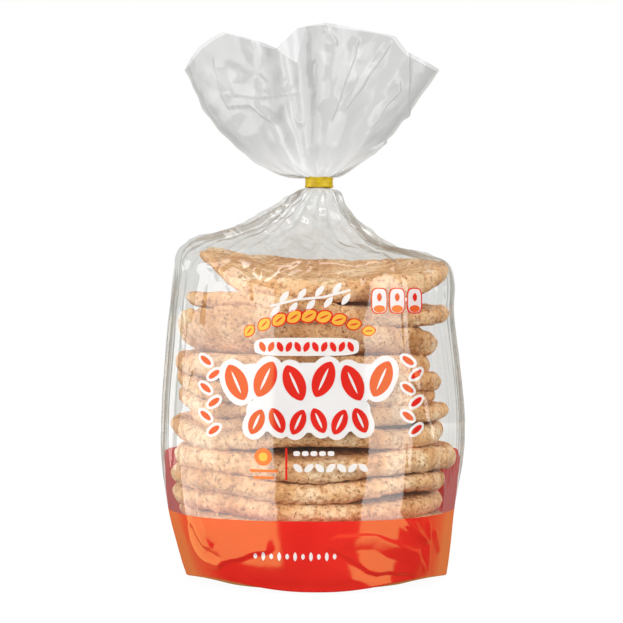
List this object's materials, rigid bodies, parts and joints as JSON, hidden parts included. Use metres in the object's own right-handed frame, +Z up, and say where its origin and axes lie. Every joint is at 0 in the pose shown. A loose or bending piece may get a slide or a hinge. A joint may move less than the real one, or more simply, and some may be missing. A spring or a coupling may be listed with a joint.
{
  "type": "bag of puffed wheat cakes",
  "caption": "Upright clear film bag of round puffed wheat cakes, with an orange-red printed base band, its neck gathered in a yellow tie and its top flaring out.",
  "frame": {"origin": "on the ground, under the middle of the bag's box", "axes": "+Z up from the base to the flared top, -Y towards the printed front, +X to the right seen from the front"},
  "size_m": [0.1244, 0.1165, 0.2301],
  "materials": {
    "film": "gloss",
    "band": "gloss",
    "print_white": "gloss",
    "print_orange": "gloss",
    "print_yellow": "gloss",
    "cake": "matte",
    "tie": "satin"
  },
  "bodies": {
    "root": {"bag": "film", "tie": "tie"}
  },
  "joints": []
}
